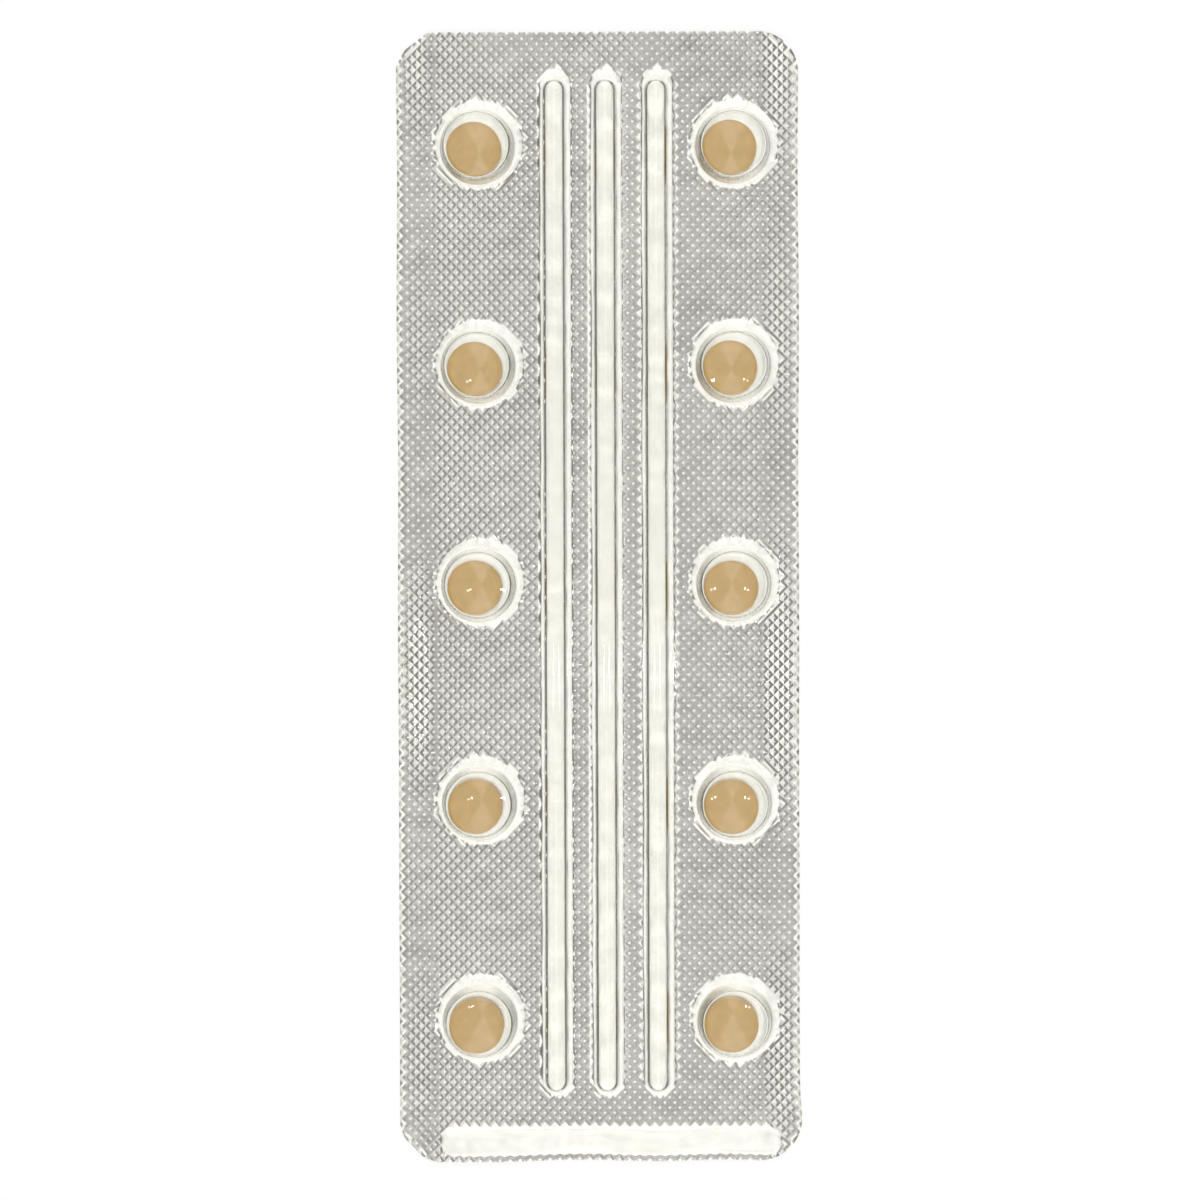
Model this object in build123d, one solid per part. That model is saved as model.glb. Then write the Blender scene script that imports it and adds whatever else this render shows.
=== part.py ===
from build123d import *
import math
import os

# A pill blister pack: clear thermoformed film heat-sealed to an aluminium lidding foil, with one
# round tablet loose in each formed cavity. All sizes are in millimetres and all angles in degrees.
# The origin is the middle of the footprint on the underside of the foil. +X runs across the pack,
# +Y runs along it towards the end that has the cut corner, and +Z points out through the cavities.

# ---- Driving dimensions ----

# Outline, shared by the film and the foil, which are sealed first and punched out together
PACK_WIDTH = 44.0
PACK_LENGTH = 124.0
CORNER_RADIUS = 4.6
CUT_ALONG_END = 3.5  # the cut corner at -X +Y, measured along the end of the pack
CUT_ALONG_SIDE = 3.8  # the same corner, measured along the side
CUT_KNEE_FROM_SIDE = 1.0  # the cut has two facets, which meet at this knee
CUT_KNEE_FROM_END = 2.0

# Webs
FOIL_THICKNESS = 0.03
FILM_THICKNESS = 0.25  # the flat, unformed film
CAVITY_WALL = 0.17  # the film is drawn thinner where it is formed
RIB_WALL = 0.20

# Tablets
TABLET_DIAMETER = 6.0
TABLET_THICKNESS = 2.4
TABLET_BEVEL_WIDTH = 0.42
TABLET_BEVEL_HEIGHT = 0.30
TABLET_WALL_GAP = 0.08  # what is left between a tablet that has slid over and the cavity's wall
SLIDE_HEADING = 222.0  # the way the tablets have slid, counterclockwise from +X
SLIDE_SPREAD = 9.0  # how far the heading differs from one tablet to the next

# Cavities
COLUMNS = 2
ROWS = 5
MARGIN_LEFT = 8.85  # from each edge of the pack to the nearest cavity's centre
MARGIN_RIGHT = 7.15
MARGIN_TOP = 12.6
MARGIN_BOTTOM = 15.4
CAVITY_SIDE_CLEARANCE = 0.45  # round a tablet in the middle, at the cavity's ceiling
CAVITY_HEAD_CLEARANCE = 0.68  # over a tablet
CAVITY_DRAFT = 9.0
CAVITY_CROWN_RADIUS = 0.45  # on the inside, where the wall turns into the ceiling
CAVITY_CROWN_RISE = 0.22  # the ceiling is slightly domed

# Stiffening ribs, hollow channels that run lengthwise between the two columns
RIBS = 3
RIB_WIDTH = 2.5  # over the outside, where the walls leave the flat film
RIB_HEIGHT = 0.9  # above the flat film
RIB_DRAFT = 14.0
RIB_CROWN_RADIUS = 0.30
RIB_CROWN_RISE = 0.06
RIB_TO_TOP_EDGE = 5.15
RIB_TO_BOTTOM_EDGE = 7.55

# Where the flat film turns up into a wall: the radius on the top side of the film. Underneath it
# is larger by the film's thickness, so the bend keeps the film's section.
ROOT_RADIUS = 0.15

# ---- Sizes that follow from them ----

film_underside = FOIL_THICKNESS
film_top = film_underside + FILM_THICKNESS
underside_root_radius = ROOT_RADIUS + FILM_THICKNESS

column_pitch = (PACK_WIDTH - MARGIN_LEFT - MARGIN_RIGHT) / (COLUMNS - 1)
row_pitch = (PACK_LENGTH - MARGIN_TOP - MARGIN_BOTTOM) / (ROWS - 1)
first_column_x = -PACK_WIDTH / 2 + MARGIN_LEFT
first_row_y = PACK_LENGTH / 2 - MARGIN_TOP

cavity_ceiling = FOIL_THICKNESS + TABLET_THICKNESS + CAVITY_HEAD_CLEARANCE
cavity_ceiling_radius = TABLET_DIAMETER / 2 + CAVITY_SIDE_CLEARANCE
rib_ceiling = film_top + RIB_HEIGHT - RIB_WALL

BELOW = 1.0  # how far the cutting shapes reach below the film, so that they cut right through


def slope(draft):
    """How far a wall leans out for each millimetre down."""
    return math.tan(math.radians(draft))


def outside_of(inner_half, draft, wall):
    """Half width of the outer face at the outer ceiling, one wall thickness out from the inner."""
    return inner_half + wall / math.cos(math.radians(draft)) - wall * slope(draft)


cavity_outer_radius = outside_of(cavity_ceiling_radius, CAVITY_DRAFT, CAVITY_WALL)
cavity_root_radius = cavity_outer_radius + (cavity_ceiling + CAVITY_WALL - film_top) * slope(CAVITY_DRAFT)
rib_outer_half = RIB_WIDTH / 2 - RIB_HEIGHT * slope(RIB_DRAFT)
rib_ceiling_half = rib_outer_half - outside_of(0, RIB_DRAFT, RIB_WALL)

# The ribs stand evenly between the two columns: the same land lies beside each one.
rib_land = (column_pitch - 2 * cavity_root_radius - RIBS * RIB_WIDTH) / (RIBS + 1)
rib_pitch = RIB_WIDTH + rib_land
rib_middle_x = first_column_x + column_pitch / 2
rib_length = PACK_LENGTH - RIB_TO_TOP_EDGE - RIB_TO_BOTTOM_EDGE
rib_middle_y = (RIB_TO_BOTTOM_EDGE - RIB_TO_TOP_EDGE) / 2

# A tablet slides until its shoulder, the top of its straight side, almost meets the wall.
shoulder_height = FOIL_THICKNESS + TABLET_THICKNESS - TABLET_BEVEL_HEIGHT
wall_radius_at_shoulder = cavity_ceiling_radius + (cavity_ceiling - shoulder_height) * slope(CAVITY_DRAFT)
tablet_slide = wall_radius_at_shoulder - TABLET_DIAMETER / 2 - TABLET_WALL_GAP


# ---- Shapes ----

def pack_outline():
    """The punched outline: three rounded corners and one corner cut off in two facets."""
    left = -PACK_WIDTH / 2
    right = PACK_WIDTH / 2
    top = PACK_LENGTH / 2
    bottom = -PACK_LENGTH / 2
    sheet = make_face(
        Polyline(
            (left, bottom),
            (right, bottom),
            (right, top),
            (left + CUT_ALONG_END, top),
            (left + CUT_KNEE_FROM_SIDE, top - CUT_KNEE_FROM_END),
            (left, top - CUT_ALONG_SIDE),
            close=True,
        )
    )
    square_corners = [
        nearest_vertex(sheet, left, bottom),
        nearest_vertex(sheet, right, bottom),
        nearest_vertex(sheet, right, top),
    ]
    return fillet(square_corners, CORNER_RADIUS)


def nearest_vertex(sketch, x, y):
    """The vertex of a flat sketch that is nearest to a point."""
    return sketch.vertices().sort_by_distance((x, y))[0]


def formed_section(crown_half, crown_z, rise, crown_radius, draft, root_z, root_radius, floor_z):
    """Half section of a formed feature, on the XZ plane, from its middle out to its blended root."""
    root_half = crown_half + (crown_z - root_z) * slope(draft)
    reach = root_half + root_radius
    ceiling = TangentArc((0, crown_z + rise), (crown_half, crown_z), tangent=(1, 0))
    wall_and_floor = Polyline(
        (crown_half, crown_z),
        (root_half, root_z),
        (reach, root_z),
        (reach, floor_z),
        (0, floor_z),
        (0, crown_z + rise),
    )
    section = make_face(ceiling + wall_and_floor)
    section = fillet(nearest_vertex(section, crown_half, crown_z), crown_radius)
    section = fillet(nearest_vertex(section, root_half, root_z), root_radius)
    return Plane.XZ * section


def round_feature(section):
    """A round cavity: the half section turned about its middle."""
    return revolve(section, Axis.Z)


def long_feature(section, length, width):
    """A channel with round ends, its root `length` long and `width` wide: straight, then turned."""
    run = length - width
    one_side = extrude(section, run / 2, both=True)
    end = revolve(section, Axis.Z)
    return one_side + mirror(one_side, Plane.YZ) + Pos(0, run / 2, 0) * end + Pos(0, -run / 2, 0) * end


def cavity_outside():
    section = formed_section(
        cavity_outer_radius,
        cavity_ceiling + CAVITY_WALL,
        CAVITY_CROWN_RISE,
        CAVITY_CROWN_RADIUS + CAVITY_WALL,
        CAVITY_DRAFT,
        film_top,
        ROOT_RADIUS,
        film_underside,
    )
    return round_feature(section)


def cavity_inside():
    section = formed_section(
        cavity_ceiling_radius,
        cavity_ceiling,
        CAVITY_CROWN_RISE,
        CAVITY_CROWN_RADIUS,
        CAVITY_DRAFT,
        film_underside,
        underside_root_radius,
        film_underside - BELOW,
    )
    return round_feature(section)


def rib_outside():
    section = formed_section(
        rib_outer_half,
        rib_ceiling + RIB_WALL,
        RIB_CROWN_RISE,
        RIB_CROWN_RADIUS + RIB_WALL,
        RIB_DRAFT,
        film_top,
        ROOT_RADIUS,
        film_underside,
    )
    return long_feature(section, rib_length, RIB_WIDTH)


def rib_inside():
    section = formed_section(
        rib_ceiling_half,
        rib_ceiling,
        RIB_CROWN_RISE,
        RIB_CROWN_RADIUS,
        RIB_DRAFT,
        film_underside,
        underside_root_radius,
        film_underside - BELOW,
    )
    return long_feature(section, rib_length, RIB_WIDTH)


def cavity_places():
    """Centre of each cavity, row by row from the cut corner's end, left to right."""
    places = []
    for row in range(ROWS):
        for column in range(COLUMNS):
            x = first_column_x + column * column_pitch
            y = first_row_y - row * row_pitch
            places.append((x, y))
    return places


def rib_places():
    """Centre of each rib, left to right."""
    first_x = rib_middle_x - (RIBS - 1) * rib_pitch / 2
    return [(first_x + rib * rib_pitch, rib_middle_y) for rib in range(RIBS)]


def blister_film():
    """The clear film, one sheet: flat round the edge, with ten cavities and three ribs formed up."""
    film = Pos(0, 0, film_underside) * extrude(pack_outline(), FILM_THICKNESS)
    outside = cavity_outside()
    inside = cavity_inside()
    film += [Pos(x, y, 0) * outside for x, y in cavity_places()]
    film -= [Pos(x, y, 0) * inside for x, y in cavity_places()]
    outside = rib_outside()
    inside = rib_inside()
    film += [Pos(x, y, 0) * outside for x, y in rib_places()]
    film -= [Pos(x, y, 0) * inside for x, y in rib_places()]
    return film


def lidding_foil():
    """The aluminium lidding foil, flat, with the same outline as the film."""
    return extrude(pack_outline(), FOIL_THICKNESS)


def tablet():
    """A flat-faced tablet with a bevel round both faces, standing on z = 0."""
    pill = Cylinder(
        TABLET_DIAMETER / 2,
        TABLET_THICKNESS,
        align=(Align.CENTER, Align.CENTER, Align.MIN),
    )
    for end in (0, -1):
        flat = pill.faces().sort_by(Axis.Z)[end]
        pill = chamfer(flat.edges(), TABLET_BEVEL_WIDTH, TABLET_BEVEL_HEIGHT, reference=flat)
    return pill


def tablet_place(number, cavity):
    """Where a tablet lies on the foil: slid over in its cavity, each one a little differently."""
    heading = math.radians(SLIDE_HEADING + SLIDE_SPREAD * math.sin(2.4 * number))
    x = cavity[0] + tablet_slide * math.cos(heading)
    y = cavity[1] + tablet_slide * math.sin(heading)
    return Pos(x, y, FOIL_THICKNESS)


def write(name, shape):
    shape.label = name
    export_step(shape, f"parts/{name}.step")


def main():
    os.makedirs("parts", exist_ok=True)
    write("blister_film", blister_film())
    write("lidding_foil", lidding_foil())
    pill = tablet()
    for number, cavity in enumerate(cavity_places(), start=1):
        write(f"tablet_{number}", tablet_place(number, cavity) * pill)
    print(f"column pitch {column_pitch:.3f}, row pitch {row_pitch:.3f}, rib pitch {rib_pitch:.3f}")
    print(f"cavity root radius {cavity_root_radius:.3f}, tablet slide {tablet_slide:.3f}")


main()
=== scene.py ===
"""A blister pack of ten tablets, as it looks: a clear formed film sealed to aluminium foil.

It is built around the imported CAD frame. The helpers work in millimetres, and a mesh is made
in metres.
"""

import math

import bmesh
import bpy
import numpy as np
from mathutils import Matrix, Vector
from mathutils.geometry import delaunay_2d_cdt


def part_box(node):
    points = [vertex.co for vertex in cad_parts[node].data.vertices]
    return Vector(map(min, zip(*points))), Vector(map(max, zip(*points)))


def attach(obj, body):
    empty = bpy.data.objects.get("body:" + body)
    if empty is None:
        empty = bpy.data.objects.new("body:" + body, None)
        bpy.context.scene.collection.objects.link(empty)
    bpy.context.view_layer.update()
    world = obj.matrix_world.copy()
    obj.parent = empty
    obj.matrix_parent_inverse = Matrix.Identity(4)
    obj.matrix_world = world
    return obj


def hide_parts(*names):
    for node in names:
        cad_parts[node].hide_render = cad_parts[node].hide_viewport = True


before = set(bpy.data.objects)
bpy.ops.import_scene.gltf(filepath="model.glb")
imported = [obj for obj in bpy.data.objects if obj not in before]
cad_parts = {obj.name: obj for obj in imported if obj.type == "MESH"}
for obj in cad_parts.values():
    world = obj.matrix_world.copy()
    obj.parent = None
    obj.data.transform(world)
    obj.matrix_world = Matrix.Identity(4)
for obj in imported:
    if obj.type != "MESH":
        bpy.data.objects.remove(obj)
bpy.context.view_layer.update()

MM = 0.001

# The pack's outline, in mm inside the foil's own box
CORNER_RADIUS = 4.6
CUT_ALONG_END = 3.5
CUT_ALONG_SIDE = 3.8
CUT_KNEE = (1.0, 2.0)
OUTLINE_STEP = 0.4
WELD = 0.002
TABLET_STEPS = 96
TABLET_BEVEL = 0.42
TABLET_DROP = 0.30

# Cavities and ribs, placed from the pack's edges as in the CAD
COLUMN_MARGINS = (8.85, 7.15)
ROW_MARGINS = (12.6, 15.4)
ROWS = 5
RIB_END_MARGINS = (5.15, 7.55)
RIB_COLUMNS = [-4.74, 0.85, 6.44]
RIB_LEAN = 0.22
CAVITY_CEILING = 3.28
CAVITY_HALF = 3.595
CAVITY_RISE = 0.22
CAVITY_CROWN = 0.62
CAVITY_DRAFT = math.radians(9)
CAVITY_WALL = 0.17
CAVITY_HALF_INSIDE = 3.45
CAVITY_CROWN_INSIDE = 0.45
RIB_CEILING = 1.18
RIB_HALF = 1.026
RIB_RISE = 0.06
RIB_CROWN = 0.50
RIB_DRAFT = math.radians(14)
RIB_WALL = 0.20
RIB_HALF_INSIDE = 0.869
RIB_CROWN_INSIDE = 0.30
ROOT_RADIUS = 0.15
CAVITY_ROOT_INSIDE = 0.40 - 0.06
RIB_ROOT_INSIDE = 0.40 - 0.14
DOME_PARTS = (0.86, 0.68, 0.48, 0.26, 0.0)
CAVITY_JOIN = 4.30
RIB_JOIN = 1.56
CAVITY_FLOOR_RINGS = (
    (4.12, 30),
    (3.93, 28),
    (3.7, 24),
    (3.45, 22),
    (3.2, 18),
    (2.9, 15),
    (2.2, 10),
    (1.2, 6),
)
ARC_STEPS = 32
CLEAR_ARC_STEPS = 48
RIB_CLEAR_ARC_STEPS = 14
RIB_CLEAR_SIDE_STEPS = 110
RIB_ARC_STEPS = 8
RIB_SIDE_STEPS = 50

# The heat seal: a lattice of fine ridges with a pit in each cell
KNURL_X = 1.10
KNURL_Y = 1.135
PIT_RUN = 0.27
PIT_DEPTH = 0.078
FILM_DIP = 0.045
SEAL_LEVEL = 0.108
FOIL_THICKNESS = 0.03
FILM_ABOVE_FOIL = 0.20
FILM_BEDDED = 0.015
FLANGE_TOP = SEAL_LEVEL + FILM_ABOVE_FOIL
FLANGE_UNDER = SEAL_LEVEL - FILM_BEDDED
SEAL_SHIFT = (0.15, 0.30)
CLEAR_CAVITY = 4.80
CLEAR_RIB = 1.65
RIB_LOOP_OFFSET = 0.002
CLEAR_RIB_ENDS = (57.9, -54.8)
BAND_MIDDLE = (1.15, -59.84)
BAND_HALF = (18.65, 1.38)
BAND_ROUND = 1.0


def smooth(low, high, value):
    """0 below low, 1 above high, eased between."""
    t = np.clip((value - low) / (high - low), 0, 1)
    return t * t * (3 - 2 * t)


def waves(x, y, length, seed, stretch=(1.0, 1.0), count=9):
    """Smooth random relief of about -1 to 1, with waves about as long as length."""
    draw = np.random.default_rng(seed)
    total = np.zeros_like(x)
    for _ in range(count):
        heading = draw.uniform(0, math.pi)
        pace = 2 * math.pi / (length * draw.uniform(0.7, 1.5))
        phase = draw.uniform(0, 2 * math.pi)
        along = x * math.cos(heading) / stretch[0] + y * math.sin(heading) / stretch[1]
        total += np.sin(along * pace + phase)
    return total / math.sqrt(count)


# Places, from the frame

box_low, box_high = (np.array(list(corner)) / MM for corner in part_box("lidding_foil"))
LEFT, BOTTOM = box_low[:2]
RIGHT, TOP = box_high[:2]
columns = [LEFT + COLUMN_MARGINS[0], RIGHT - COLUMN_MARGINS[1]]
rows = np.linspace(TOP - ROW_MARGINS[0], BOTTOM + ROW_MARGINS[1], ROWS)
cavities = [(x, y) for y in rows for x in columns]
rib_columns = RIB_COLUMNS
rib_span = (
    BOTTOM + RIB_END_MARGINS[1] + RIB_HALF + RIB_LEAN,
    TOP - RIB_END_MARGINS[0] - RIB_HALF - RIB_LEAN,
)


# Flat shapes


def stadium(x, low, high, radius, arc_steps, side_steps=0):
    """Points anticlockwise round a slot shape, or round a circle where low is high."""
    upper = np.linspace(0, math.pi, arc_steps + 1)
    lower = upper + math.pi
    top = np.stack([x + radius * np.cos(upper), high + radius * np.sin(upper)], 1)
    bottom = np.stack([x + radius * np.cos(lower), low + radius * np.sin(lower)], 1)
    if not side_steps:
        return np.concatenate([top[:-1], bottom[:-1]])
    down = np.linspace(high, low, side_steps + 1)[1:-1]
    left = np.stack([np.full_like(down, x - radius), down], 1)
    right = np.stack([np.full_like(down, x + radius), down[::-1]], 1)
    return np.concatenate([top, left, bottom, right])


def resample(points, step):
    """The closed path through points, with further points no more than step apart."""
    dense = []
    for a, b in zip(points, np.roll(points, -1, 0)):
        pieces = max(1, math.ceil(np.linalg.norm(b - a) / step))
        dense += [a + (b - a) * k / pieces for k in range(pieces)]
    return np.array(dense)


def pack_outline():
    """The punched outline, anticlockwise from the lower left corner."""
    corners = [
        (LEFT + CORNER_RADIUS, BOTTOM + CORNER_RADIUS, math.pi),
        (RIGHT - CORNER_RADIUS, BOTTOM + CORNER_RADIUS, 1.5 * math.pi),
        (RIGHT - CORNER_RADIUS, TOP - CORNER_RADIUS, 0.0),
    ]
    points = []
    for x, y, start in corners:
        for angle in np.linspace(start, start + math.pi / 2, 19):
            points.append(
                (x + CORNER_RADIUS * math.cos(angle), y + CORNER_RADIUS * math.sin(angle))
            )
    points += [
        (LEFT + CUT_ALONG_END, TOP),
        (LEFT + CUT_KNEE[0], TOP - CUT_KNEE[1]),
        (LEFT, TOP - CUT_ALONG_SIDE),
    ]
    return resample(np.array(points), OUTLINE_STEP)


def inside_outline(points, outline):
    """True for each point that is inside the outline, which is convex."""
    keep = np.ones(len(points), bool)
    for a, b in zip(outline, np.roll(outline, -1, 0)):
        side = b - a
        cross = side[0] * (points[:, 1] - a[1]) - side[1] * (points[:, 0] - a[0])
        keep &= cross > -1e-7
    return keep


def slot_distance(x, y, middle, low, high):
    """How far each point is from an upright line."""
    return np.hypot(x - middle, y - np.clip(y, low, high))


def band_distance(x, y):
    """How far each point is outside the smooth coding band, less than 0 inside it."""
    over_x = np.abs(x - BAND_MIDDLE[0]) - BAND_HALF[0] + BAND_ROUND
    over_y = np.abs(y - BAND_MIDDLE[1]) - BAND_HALF[1] + BAND_ROUND
    outside = np.hypot(np.maximum(over_x, 0), np.maximum(over_y, 0))
    return outside + np.minimum(np.maximum(over_x, over_y), 0) - BAND_ROUND


def clear_distance(x, y):
    """How far each point is outside every unsealed zone, less than 0 inside one."""
    shift_x, shift_y = SEAL_SHIFT
    nearest = band_distance(x, y)
    for cx, cy in cavities:
        nearest = np.minimum(
            nearest, np.hypot(x - cx - shift_x, y - cy - shift_y) - CLEAR_CAVITY
        )
    for rib in rib_columns:
        away = slot_distance(
            x,
            y,
            rib + shift_x,
            CLEAR_RIB_ENDS[1] + CLEAR_RIB,
            CLEAR_RIB_ENDS[0] - CLEAR_RIB,
        )
        nearest = np.minimum(nearest, away - CLEAR_RIB)
    return nearest


def pit(x, y):
    """How deep into its pit each point is: 0 on a ridge or in a clear zone, 1 at the bottom."""
    u = x / KNURL_X + y / KNURL_Y
    v = x / KNURL_X - y / KNURL_Y
    pitch = KNURL_X * KNURL_Y / math.hypot(KNURL_X, KNURL_Y)
    from_ridge = np.minimum(np.abs(u - np.round(u)), np.abs(v - np.round(v))) * pitch
    ramp = np.clip(from_ridge / PIT_RUN, 0, 1)
    press = 1 + 0.03 * waves(x, y, 18, 21) + 0.03 * waves(x, y, 3, 22)
    return ramp * press * smooth(0, 0.16, clear_distance(x, y))


def foil_top(x, y):
    """Height of the foil's upper face."""
    z = SEAL_LEVEL - PIT_DEPTH * pit(x, y)
    for cx, cy in cavities:
        away = np.hypot(x - cx, y - cy)
        z -= (SEAL_LEVEL - FOIL_THICKNESS) * smooth(4.15, 3.15, away)
    for number, rib in enumerate(rib_columns):
        away = slot_distance(x, y, rib, rib_span[0], rib_span[1])
        within = smooth(1.35, 0.75, away)
        ripple = waves(x, y, 3.4, 31 + number, (2.6, 1.0))
        fine = waves(x, y, 1.3, 41 + number, (1.5, 1.0))
        z += within * (0.034 * ripple + 0.008 * fine - 0.02)
    calm = smooth(-0.1, -0.5, clear_distance(x, y))
    z += calm * 0.006 * waves(x, y, 1.6, 51)
    band = smooth(0, -0.35, band_distance(x, y))
    z += band * (
        0.020 * waves(x, y, 2.2, 61, (3.5, 1.0)) + 0.012 * waves(x, y, 5.0, 62)
    )
    return z


def film_top(x, y):
    """Height of the sealed film's upper face."""
    sunk = pit(x, y)
    eased = sunk * sunk * (3 - 2 * np.minimum(sunk, 1))
    return SEAL_LEVEL + FILM_ABOVE_FOIL - FILM_DIP * eased


def film_under(x, y):
    """Height of the sealed film's lower face, which is bedded in the foil."""
    return SEAL_LEVEL - FILM_BEDDED - PIT_DEPTH * pit(x, y)


def wander(points):
    """Small unevenness of the punched edges, which grows towards the margins."""
    x, y, z = points.T
    side = smooth(17.5, 22, np.abs(x))
    end = smooth(56, 62, np.abs(y))
    dx = side * np.sign(x) * 0.05 * waves(y, y * 0, 26, 71)
    dy = end * 0.10 * waves(x, x * 0, 17, 72) * (y < 0)
    corner = np.exp(-(((x - 21) / 3.2) ** 2 + ((y + 57.5) / 2.6) ** 2))
    facet = np.exp(-(((x + 20.2) / 1.5) ** 2 + ((y + 60.2) / 1.5) ** 2))
    lift = 0.18 * side * (1 + waves(y, y * 0, 38, 73)) + 0.14 * end * (
        1 + waves(x, x * 0, 21, 74)
    )
    moved = np.stack(
        [
            x + dx + 0.25 * corner + 0.16 * facet,
            y + dy + 0.16 * facet,
            z + np.maximum(lift, 0),
        ],
        1,
    )
    return moved


# The one triangulation that foil and film share


def plan_mesh():
    """Flat points and triangles of the whole pack, cut along every ridge and zone edge."""
    outline = pack_outline()
    loops = [outline]
    shift_x, shift_y = SEAL_SHIFT
    for x, y in cavities:
        loops.append(stadium(x, y, y, CAVITY_JOIN, ARC_STEPS))
        loops.append(stadium(x + shift_x, y + shift_y, y + shift_y, CLEAR_CAVITY, CLEAR_ARC_STEPS))
    for rib in rib_columns:
        loops.append(
            stadium(rib, *rib_span, RIB_JOIN, RIB_ARC_STEPS, RIB_SIDE_STEPS)
        )
        loops.append(
            stadium(
                rib + shift_x,
                CLEAR_RIB_ENDS[1] + CLEAR_RIB,
                CLEAR_RIB_ENDS[0] - CLEAR_RIB,
                CLEAR_RIB + RIB_LOOP_OFFSET,
                RIB_CLEAR_ARC_STEPS,
                RIB_CLEAR_SIDE_STEPS,
            )
        )
    loops.append(band_loop())
    points, edges = [], []
    count = 0
    for loop in loops:
        points.append(loop)
        number = np.arange(len(loop))
        edges.append(np.stack([number, np.roll(number, -1)], 1) + count)
        count += len(loop)

    span = int(RIGHT / KNURL_X + TOP / KNURL_Y) + 2
    steps = np.arange(-span, span + 1)
    u, v = np.meshgrid(steps, steps, indexing="ij")
    node_x = KNURL_X * (u + v) / 2
    node_y = KNURL_Y * (u - v) / 2
    flat = np.stack([node_x.ravel(), node_y.ravel()], 1)
    inner = outline_inset(outline, 0.06)
    sealed = inside_outline(flat, inner) & (clear_distance(*flat.T) > 0.05)
    index = np.full(len(flat), -1)
    index[sealed] = count + np.arange(sealed.sum())
    index = index.reshape(u.shape)
    points.append(flat[sealed])
    count += sealed.sum()
    for a, b in ((index[:-1], index[1:]), (index[:, :-1], index[:, 1:])):
        both = (a >= 0) & (b >= 0)
        edges.append(np.stack([a[both], b[both]], 1))

    middle_x = KNURL_X * (u + v + 1) / 2
    middle_y = KNURL_Y * (u - v) / 2
    pitch = KNURL_X * KNURL_Y / math.hypot(KNURL_X, KNURL_Y)
    reach = 1 - PIT_RUN / (pitch / 2)
    for across, along in ((1, 0), (-1, 0), (0, 1), (0, -1)):
        corner = np.stack(
            [
                (middle_x + across * reach * KNURL_X / 2).ravel(),
                (middle_y + along * reach * KNURL_Y / 2).ravel(),
            ],
            1,
        )
        keep = inside_outline(corner, inner) & (clear_distance(*corner.T) > 0.07)
        points.append(corner[keep])

    points += smooth_zone_points()
    flat = np.concatenate(points)
    corners = [Vector(point) for point in flat.tolist()]
    joined = np.concatenate(edges).tolist()
    result = delaunay_2d_cdt(corners, joined, [], 0, 1e-6, False)
    flat = np.array([(p.x, p.y) for p in result[0]])
    triangles = np.array([t for t in result[2] if len(t) == 3])
    middle = flat[triangles].mean(1)
    return flat, triangles[inside_outline(middle, outline)]


def outline_inset(outline, by):
    """The outline drawn in towards its middle by about this much."""
    scale = np.array([1 - by / RIGHT, 1 - by / TOP])
    return outline * scale


def band_loop():
    """The smooth coding band's edge."""
    points = []
    for sign_x, sign_y, start in ((-1, -1, 2), (1, -1, 3), (1, 1, 0), (-1, 1, 1)):
        x = BAND_MIDDLE[0] + sign_x * (BAND_HALF[0] - BAND_ROUND)
        y = BAND_MIDDLE[1] + sign_y * (BAND_HALF[1] - BAND_ROUND)
        for angle in np.linspace(start, start + 1, 7) * math.pi / 2:
            points.append(
                (x + BAND_ROUND * math.cos(angle), y + BAND_ROUND * math.sin(angle))
            )
    return resample(np.array(points), 0.5)


def grid(low_x, high_x, low_y, high_y, step_x, step_y):
    """Points in even rows and columns."""
    x, y = np.meshgrid(np.arange(low_x, high_x, step_x), np.arange(low_y, high_y, step_y))
    return np.stack([x.ravel(), y.ravel()], 1)


def smooth_zone_points():
    """Points inside the unsealed zones, where the foil lies in soft ripples."""
    found = []
    for x, y in cavities:
        for radius, arc_steps in CAVITY_FLOOR_RINGS:
            found.append(stadium(x, y, y, radius, arc_steps))
        found.append(np.array([(x, y)]))
    for rib in rib_columns:
        cells = grid(
            rib - 1.2,
            rib + 1.25,
            CLEAR_RIB_ENDS[1] + 0.6,
            CLEAR_RIB_ENDS[0] - 0.5,
            0.4,
            0.55,
        )
        away = slot_distance(cells[:, 0], cells[:, 1], rib, *rib_span)
        found.append(cells[away < RIB_JOIN - 0.25])
    cells = grid(LEFT, RIGHT, BAND_MIDDLE[1] - 1.2, BAND_MIDDLE[1] + 1.25, 0.4, 0.3)
    found.append(cells[band_distance(cells[:, 0], cells[:, 1]) < -0.14])
    return found


def border(triangles):
    """Directed edges that only one triangle uses."""
    pairs = np.concatenate([triangles[:, ends] for ends in ([0, 1], [1, 2], [2, 0])])
    names = pairs.min(1) * (pairs.max() + 1) + pairs.max(1)
    _, place, times = np.unique(names, return_index=True, return_counts=True)
    return pairs[place[times == 1]]


def within_formed(middle):
    """True for each triangle that lies under a cavity or a rib."""
    x, y = middle.T
    under = np.zeros(len(x), bool)
    for cx, cy in cavities:
        under |= np.hypot(x - cx, y - cy) < CAVITY_JOIN - 0.004
    for rib in rib_columns:
        under |= slot_distance(x, y, rib, *rib_span) < RIB_JOIN - 0.004
    return under


# Meshes


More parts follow.
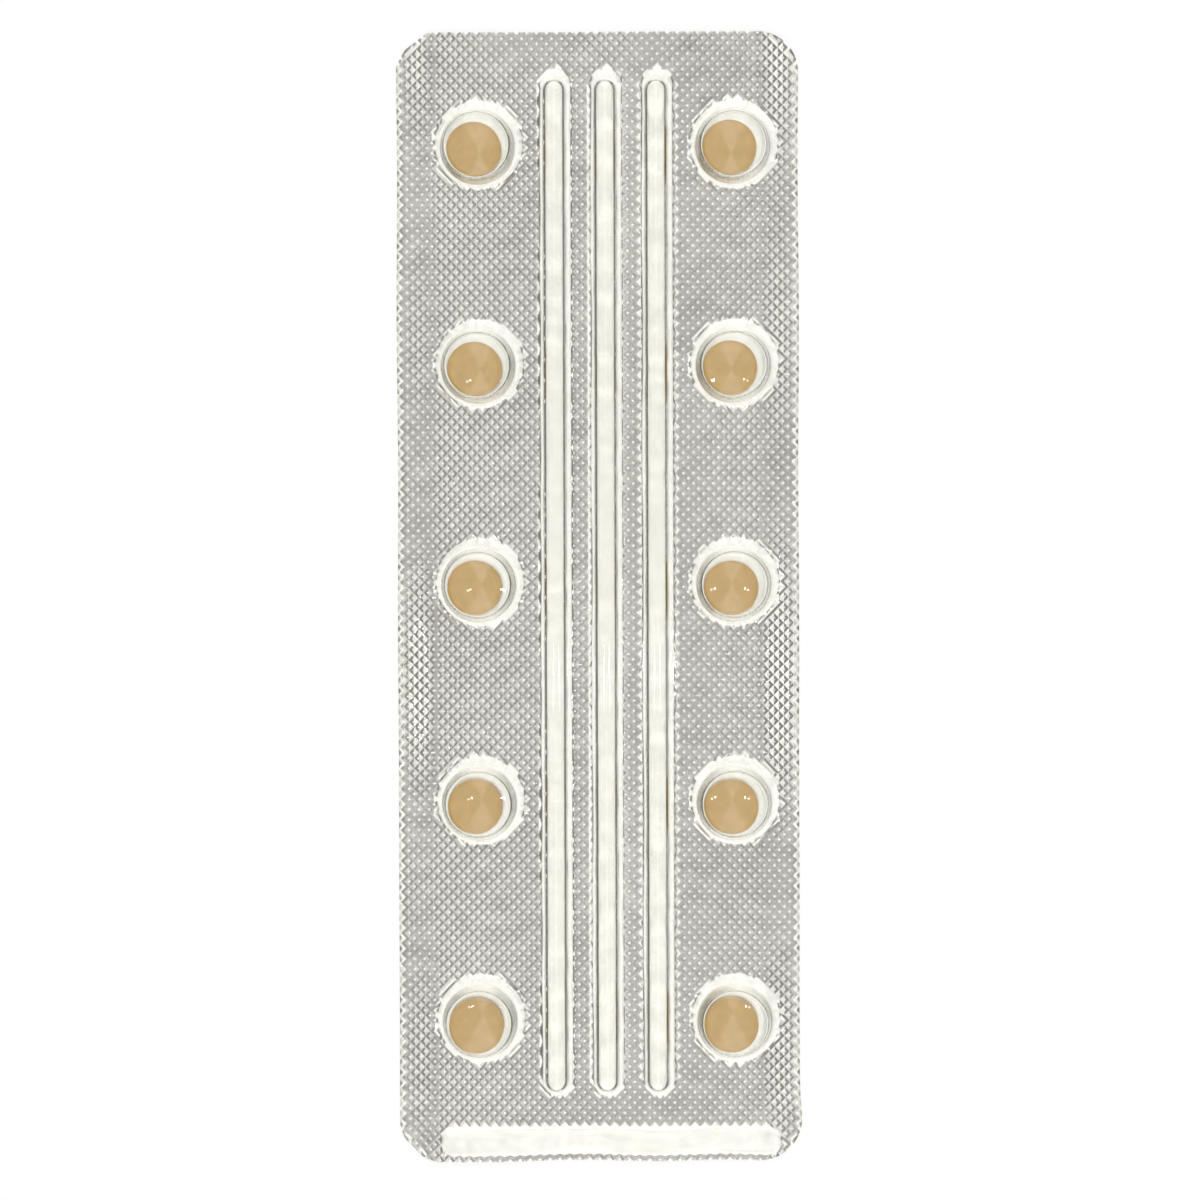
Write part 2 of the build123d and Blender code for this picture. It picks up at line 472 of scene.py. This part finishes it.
def make_piece(name, points, faces, smooth_faces, weld=None):
    """A mesh object in metres from points in mm, with a smooth flag for each face."""
    mesh = bpy.data.meshes.new(name)
    mesh.from_pydata((points * MM).tolist(), [], faces)
    mesh.polygons.foreach_set("use_smooth", np.asarray(smooth_faces, bool))
    if weld:
        work = bmesh.new()
        work.from_mesh(mesh)
        bmesh.ops.remove_doubles(work, verts=work.verts, dist=weld * MM)
        work.to_mesh(mesh)
        work.free()
    mesh.validate()
    mesh.update()
    piece = bpy.data.objects.new(name, mesh)
    bpy.context.collection.objects.link(piece)
    return piece


def lay(piece, nodes, material):
    """Puts a finished piece in the frame."""
    piece.data.materials.clear()
    piece.data.materials.append(material)
    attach(piece, "root")
    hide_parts(*nodes)


def skins(flat, triangles, upper, lower):
    """A closed sheet from one triangulation: both faces and the rim."""
    count = len(flat)
    points = np.concatenate([np.column_stack([flat, z]) for z in (upper, lower)])
    edge = border(triangles)
    a, b = edge.T
    sides = np.concatenate(
        [np.stack([b, a, a + count], 1), np.stack([b, a + count, b + count], 1)]
    )
    return points, triangles, triangles[:, ::-1] + count, sides


def section(half, ceiling, rise, crown, draft, floor, root, join, crown_steps, root_steps):
    """(distance from the middle, height) from the flange in to the middle of the crown."""
    turn = math.pi / 2 - draft
    lean = math.tan(draft)
    root_x = half + (ceiling - floor) * lean + root * math.tan(turn / 2)
    crown_x = half - crown * math.tan(turn / 2)
    points = [(join, floor)]
    for angle in np.linspace(0, turn, root_steps + 1):
        points.append((root_x - root * math.sin(angle), floor + root * (1 - math.cos(angle))))
    low = points[-1]
    arc = [
        (crown_x + crown * math.cos(angle), ceiling - crown + crown * math.sin(angle))
        for angle in np.linspace(draft, math.pi / 2, crown_steps + 1)
    ]
    for part in (0.33, 0.67):
        points.append(
            (low[0] + (arc[0][0] - low[0]) * part, low[1] + (arc[0][1] - low[1]) * part)
        )
    points += arc
    top = ceiling
    points[-1] = (crown_x, top)
    for part in DOME_PARTS:
        points.append((crown_x * part, top + rise * (1 - part * part)))
    return points


def formed_skin(x, low, high, rings, arc_steps, side_steps, upward):
    """Points and quads of one skin of a cavity or a rib."""
    loops = []
    for radius, z in rings:
        loop = stadium(x, low, high, radius, arc_steps, side_steps)
        loops.append(np.column_stack([loop, np.full(len(loop), z)]))
    size = len(loops[0])
    here = np.arange(size)
    after = np.roll(here, -1)
    quads = []
    for ring in range(len(loops) - 1):
        outer, inner = ring * size, (ring + 1) * size
        quad = np.stack([outer + here, outer + after, inner + after, inner + here], 1)
        quads.append(quad if upward else quad[:, ::-1])
    return np.concatenate(loops), np.concatenate(quads)


def build_foil(flat, triangles):
    """The lidding foil: a closed sheet with the knurl and the ripples in it."""
    upper = foil_top(flat[:, 0], flat[:, 1])
    points, top, under, sides = skins(flat, triangles, upper, upper - FOIL_THICKNESS)
    middle = flat[triangles].mean(1)
    soft = clear_distance(middle[:, 0], middle[:, 1]) < 0
    faces = np.concatenate([top, under, sides])
    flags = np.concatenate([soft, soft, np.zeros(len(sides), bool)])
    return make_piece("foil_lidding", wander(points), faces.tolist(), flags)


def build_film(flat, triangles):
    """The formed film: its flange, and the skins of its cavities and ribs."""
    middle = flat[triangles].mean(1)
    flange = triangles[~within_formed(middle)]
    upper = film_top(flat[:, 0], flat[:, 1])
    lower = film_under(flat[:, 0], flat[:, 1])
    points, top, under, sides = skins(flat, flange, upper, lower)
    outer_edge = border(flange)
    ends = flat[outer_edge].mean(1)
    rim = np.tile(~within_formed_loose(ends), 2)
    faces = [top, under, sides[rim]]
    all_points = [points]
    quads = []
    count = len(points)
    cavity_skins = (
        section(
            CAVITY_HALF,
            CAVITY_CEILING,
            CAVITY_RISE,
            CAVITY_CROWN,
            CAVITY_DRAFT,
            FLANGE_TOP,
            ROOT_RADIUS,
            CAVITY_JOIN,
            6,
            3,
        ),
        section(
            CAVITY_HALF_INSIDE,
            CAVITY_CEILING - CAVITY_WALL,
            CAVITY_RISE,
            CAVITY_CROWN_INSIDE,
            CAVITY_DRAFT,
            FLANGE_UNDER,
            CAVITY_ROOT_INSIDE,
            CAVITY_JOIN,
            5,
            4,
        ),
    )
    rib_skins = (
        section(
            RIB_HALF,
            RIB_CEILING,
            RIB_RISE,
            RIB_CROWN,
            RIB_DRAFT,
            FLANGE_TOP,
            ROOT_RADIUS,
            RIB_JOIN,
            5,
            3,
        ),
        section(
            RIB_HALF_INSIDE,
            RIB_CEILING - RIB_WALL,
            RIB_RISE,
            RIB_CROWN_INSIDE,
            RIB_DRAFT,
            FLANGE_UNDER,
            RIB_ROOT_INSIDE,
            RIB_JOIN,
            4,
            3,
        ),
    )
    forms = [(x, y, y, cavity_skins, ARC_STEPS, 0) for x, y in cavities]
    forms += [
        (rib, *rib_span, rib_skins, RIB_ARC_STEPS, RIB_SIDE_STEPS) for rib in rib_columns
    ]
    for x, low, high, both_skins, arc_steps, side_steps in forms:
        for rings, upward in zip(both_skins, (True, False)):
            new, quad = formed_skin(x, low, high, rings, arc_steps, side_steps, upward)
            all_points.append(new)
            quads.append(quad + count)
            count += len(new)
    faces = np.concatenate(faces).tolist() + np.concatenate(quads).tolist()
    points = np.concatenate(all_points)
    used = np.zeros(len(points), bool)
    for face in (top, under, sides[rim], np.concatenate(quads)):
        used[face.ravel()] = True
    number = np.cumsum(used) - 1
    faces = [[int(number[i]) for i in face] for face in faces]
    flags = np.ones(len(faces), bool)
    return make_piece("film_blister", wander(points[used]), faces, flags, weld=WELD)


def within_formed_loose(ends):
    """True for each border edge that is on a cavity's or rib's root loop."""
    x, y = ends.T
    near = np.zeros(len(x), bool)
    for cx, cy in cavities:
        near |= np.hypot(x - cx, y - cy) < CAVITY_JOIN + 0.05
    for rib in rib_columns:
        near |= slot_distance(x, y, rib, *rib_span) < RIB_JOIN + 0.05
    return near


def build_tablet(number):
    """One tablet with soft bevels, in the place of its CAD node."""
    low, high = (np.array(list(corner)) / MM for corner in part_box(f"tablet_{number}"))
    middle = (low + high) / 2
    radius = (high[0] - low[0]) / 2
    half = (high[2] - low[2]) / 2
    bevel = TABLET_BEVEL
    drop = TABLET_DROP
    ring = [(0.0, half), (0.9, half), (1.7, half), (radius - bevel - 0.16, half - 0.004)]
    corner = (radius - bevel, half - 0.015)
    knee = (radius - 0.012, half - drop)
    ring.append(corner)
    ring.append((radius - bevel + 0.10, half - 0.075))
    ring.append((radius - 0.15, half - drop + 0.10))
    ring.append((radius - 0.05, half - drop + 0.018))
    ring.append((knee[0] + 0.008, knee[1] - 0.07))
    ring.append((radius, half - drop - 0.18))
    rings = ring + [(r, -z) for r, z in reversed(ring)]
    turn = np.linspace(0, 2 * math.pi, TABLET_STEPS, endpoint=False)
    points, quads = [], []
    for r, z in rings:
        level = np.full_like(turn, z)
        points.append(np.stack([r * np.cos(turn), r * np.sin(turn), level], 1))
    here = np.arange(TABLET_STEPS)
    after = np.roll(here, -1)
    for k in range(len(rings) - 1):
        a, b = k * TABLET_STEPS, (k + 1) * TABLET_STEPS
        quads.append(np.stack([b + here, b + after, a + after, a + here], 1))
    points = np.concatenate(points)
    relief = 0.006 * waves(points[:, 0], points[:, 1], 2.5, 100 + number)
    points[:, 2] += relief * (points[:, 2] > 0)
    quads = np.concatenate(quads).tolist()
    flags = np.ones(len(quads), bool)
    return make_piece(f"pill_{number}", points + middle, quads, flags, weld=WELD)


# Materials


def new_material(name):
    material = bpy.data.materials.new(name)
    material.use_nodes = True
    tree = material.node_tree
    tree.nodes.clear()
    return material, tree


def add(tree, kind, settings=None, **inputs):
    """A node with its settings and its sockets' values or links."""
    made = tree.nodes.new(kind)
    for key, value in (settings or {}).items():
        setattr(made, key, value)
    for key, value in inputs.items():
        socket = made.inputs[int(key[1:]) if key[1:].isdigit() else key.replace("_", " ")]
        if isinstance(value, bpy.types.NodeSocket):
            tree.links.new(value, socket)
        else:
            socket.default_value = value
    return made


def math_node(tree, operation, a, b=0.0):
    return add(tree, "ShaderNodeMath", {"operation": operation}, _0=a, _1=b).outputs[0]


def output(tree, shader):
    end = tree.nodes.new("ShaderNodeOutputMaterial")
    tree.links.new(shader, end.inputs["Surface"])


def noise(tree, place, scale, detail=2.0, roughness=0.5):
    made = add(
        tree,
        "ShaderNodeTexNoise",
        None,
        Vector=place,
        Scale=scale,
        Detail=detail,
        Roughness=roughness,
    )
    return made.outputs["Fac"]


def stretched(tree, scale, turn=0.0):
    """Object coordinates, in metres, scaled to stretch a pattern."""
    place = add(tree, "ShaderNodeTexCoord").outputs["Object"]
    mapping = add(tree, "ShaderNodeMapping", None, Vector=place, Scale=scale, Rotation=(0, 0, turn))
    return mapping.outputs[0]


def ramp(tree, value, stops):
    made = add(tree, "ShaderNodeValToRGB", None, Fac=value)
    band = made.color_ramp
    while len(band.elements) < len(stops):
        band.elements.new(0.5)
    for element, (place, colour) in zip(band.elements, stops):
        element.position = place
        element.color = (*colour, 1)
    return made.outputs[0]


def foil_material():
    material, tree = new_material("foil_aluminium")
    plain = stretched(tree, (1, 1, 1))
    rolled = stretched(tree, (1, 14, 1))
    blotch = noise(tree, plain, 420, 3, 0.6)
    streak = noise(tree, rolled, 900, 2, 0.5)
    colour = ramp(tree, blotch, [(0.3, (0.735, 0.722, 0.672)), (0.7, (0.80, 0.79, 0.745))])
    rough = math_node(tree, "MULTIPLY_ADD", streak, 0.10)
    rough.node.inputs[2].default_value = 0.20
    fine = noise(tree, plain, 2600, 2, 0.5)
    soft = noise(tree, plain, 700, 2, 0.5)
    bump_fine = add(tree, "ShaderNodeBump", None, Strength=0.22, Distance=0.00002, Height=fine)
    bump = add(
        tree,
        "ShaderNodeBump",
        None,
        Strength=0.5,
        Distance=0.00003,
        Height=soft,
        Normal=bump_fine.outputs[0],
    )
    shader = add(
        tree,
        "ShaderNodeBsdfPrincipled",
        None,
        Base_Color=colour,
        Metallic=1.0,
        Roughness=rough,
        Normal=bump.outputs[0],
    )
    output(tree, shader.outputs[0])
    return material


def film_material():
    material, tree = new_material("film_clear")
    plain = stretched(tree, (1, 1, 1))
    height = noise(tree, plain, 500, 2, 0.5)
    bump = add(tree, "ShaderNodeBump", None, Strength=0.15, Distance=0.00001, Height=height)
    glass = add(
        tree,
        "ShaderNodeBsdfGlass",
        None,
        Color=(0.985, 0.985, 0.975, 1),
        Roughness=0.0,
        IOR=1.5,
        Normal=bump.outputs[0],
    )
    through = add(tree, "ShaderNodeBsdfTransparent", None, Color=(0.95, 0.95, 0.94, 1))
    path = add(tree, "ShaderNodeLightPath")
    seen = math_node(
        tree, "MAXIMUM", path.outputs["Is Camera Ray"], path.outputs["Is Transmission Ray"]
    )
    sides = {"_1": through.outputs[0], "_2": glass.outputs[0]}
    mix = add(tree, "ShaderNodeMixShader", None, _0=seen, **sides)
    output(tree, mix.outputs[0])
    return material


def tablet_material():
    material, tree = new_material("tablet_pressed")
    plain = stretched(tree, (1, 1, 1))
    mottle = noise(tree, plain, 900, 3, 0.6)
    grain = noise(tree, plain, 5200, 2, 0.5)
    colour = ramp(tree, mottle, [(0.3, (0.70, 0.425, 0.118)), (0.7, (0.80, 0.505, 0.155))])
    bump = add(tree, "ShaderNodeBump", None, Strength=0.35, Distance=0.00003, Height=grain)
    shader = add(
        tree,
        "ShaderNodeBsdfPrincipled",
        None,
        Base_Color=colour,
        Roughness=0.42,
        Normal=bump.outputs[0],
    )
    output(tree, shader.outputs[0])
    return material


# The object

flat, triangles = plan_mesh()
foil = build_foil(flat, triangles)
lay(foil, ["lidding_foil"], foil_material())
film = build_film(flat, triangles)
lay(film, ["blister_film"], film_material())
tablet_finish = tablet_material()
for number in range(1, len(cavities) + 1):
    lay(build_tablet(number), [f"tablet_{number}"], tablet_finish)


# Floor, light and camera

FLOOR_REACH = 4000.0
FLOOR_LEVEL = -0.02
CAMERA_PLACE = (0.005, 0.005, 0.400)
CAMERA_TURN = (-0.76, 0.69, -0.17)
CAMERA_LENS = 109.2


def build_floor():
    """A wide white floor that keeps the pack's shadow."""
    corners = ((-1, -1), (1, -1), (1, 1), (-1, 1))
    points = np.array([(FLOOR_REACH * x, FLOOR_REACH * y, FLOOR_LEVEL) for x, y in corners])
    floor = make_piece("floor", points, [[0, 1, 2, 3]], [False])
    material, tree = new_material("floor_white")
    matte = add(tree, "ShaderNodeBsdfDiffuse", None, Color=(0.5, 0.5, 0.5, 1))
    glow = add(tree, "ShaderNodeEmission", None, Color=(1, 1, 1, 1), Strength=0.62)
    dark = add(tree, "ShaderNodeEmission", None, Color=(0, 0, 0, 1), Strength=0.0)
    path = add(tree, "ShaderNodeLightPath")
    seen = math_node(tree, "MAXIMUM", path.outputs["Is Camera Ray"], path.outputs["Is Glossy Ray"])
    seen = math_node(tree, "MAXIMUM", seen, path.outputs["Is Transmission Ray"])
    lit = add(tree, "ShaderNodeMixShader", None, _0=seen, _1=dark.outputs[0], _2=glow.outputs[0])
    both = add(tree, "ShaderNodeAddShader", None, _0=matte.outputs[0], _1=lit.outputs[0])
    output(tree, both.outputs[0])
    floor.data.materials.append(material)


SOFTBOX_HEIGHT = 0.450
SOFTBOX_HALF = (0.188, 0.48)
SOFTBOX_X = 0.008
SOFTBOX_RADIANCE = 0.85
SPOT_PLACES = ((-0.060, -0.020), (0.070, -0.020))
SPOT_HEIGHT = 0.405
SPOT_RADIUS = 0.005
SPOT_RADIANCE = 30.0


def area_lamp(name, place, size_x, size_y, radiance, shape):
    data = bpy.data.lights.new(name, "AREA")
    data.shape = shape
    data.size = size_x
    data.size_y = size_y
    area = size_x * size_y * (math.pi / 4 if shape == "ELLIPSE" else 1)
    data.energy = radiance * area * math.pi
    lamp = bpy.data.objects.new(name, data)
    lamp.location = place
    bpy.context.collection.objects.link(lamp)


def build_lights():
    """A long softbox overhead, two small lamps, and a surround that is darker to each side."""
    area_lamp(
        "softbox",
        (SOFTBOX_X, 0, SOFTBOX_HEIGHT),
        2 * SOFTBOX_HALF[0],
        2 * SOFTBOX_HALF[1],
        SOFTBOX_RADIANCE,
        "RECTANGLE",
    )
    for number, (x, y) in enumerate(SPOT_PLACES):
        area_lamp(
            f"spot_{number}",
            (x, y, SPOT_HEIGHT),
            2 * SPOT_RADIUS,
            2 * SPOT_RADIUS,
            SPOT_RADIANCE,
            "ELLIPSE",
        )
    world = bpy.data.worlds.new("studio")
    bpy.context.scene.world = world
    world.use_nodes = True
    tree = world.node_tree
    tree.nodes.clear()
    place = add(tree, "ShaderNodeTexCoord").outputs["Generated"]
    parts = add(tree, "ShaderNodeSeparateXYZ", None, _0=place).outputs
    across = math_node(tree, "ABSOLUTE", parts[0])
    level = math_node(
        tree,
        "SQRT",
        math_node(
            tree,
            "ADD",
            math_node(tree, "MULTIPLY", parts[0], parts[0]),
            math_node(tree, "MULTIPLY", parts[1], parts[1]),
        ),
    )
    share = math_node(tree, "DIVIDE", across, math_node(tree, "MAXIMUM", level, 0.001))
    aside = add(
        tree,
        "ShaderNodeMapRange",
        {"interpolation_type": "SMOOTHSTEP"},
        Value=share,
        From_Min=0.3,
        From_Max=0.6,
    ).outputs[0]
    above = add(
        tree,
        "ShaderNodeMapRange",
        {"interpolation_type": "SMOOTHSTEP"},
        Value=parts[2],
        From_Min=0.2,
        From_Max=0.45,
    ).outputs[0]
    shade = math_node(tree, "MULTIPLY", aside, above)
    strength = math_node(tree, "MULTIPLY_ADD", shade, -0.80)
    strength.node.inputs[2].default_value = 1.0
    background = add(tree, "ShaderNodeBackground", None, Color=(1, 1, 1, 1), Strength=strength)
    end = tree.nodes.new("ShaderNodeOutputWorld")
    tree.links.new(background.outputs[0], end.inputs["Surface"])


def build_camera():
    """Almost straight above the pack, as in the photograph."""
    data = bpy.data.cameras.new("camera")
    data.sensor_width = 36
    data.lens = CAMERA_LENS
    data.clip_start = 0.01
    data.clip_end = 20
    camera = bpy.data.objects.new("camera", data)
    camera.location = CAMERA_PLACE
    camera.rotation_euler = [math.radians(angle) for angle in CAMERA_TURN]
    bpy.context.collection.objects.link(camera)
    bpy.context.scene.camera = camera


build_floor()
build_lights()
build_camera()
bpy.context.scene.view_settings.view_transform = "Standard"
bpy.context.scene.cycles.transparent_max_bounces = 32
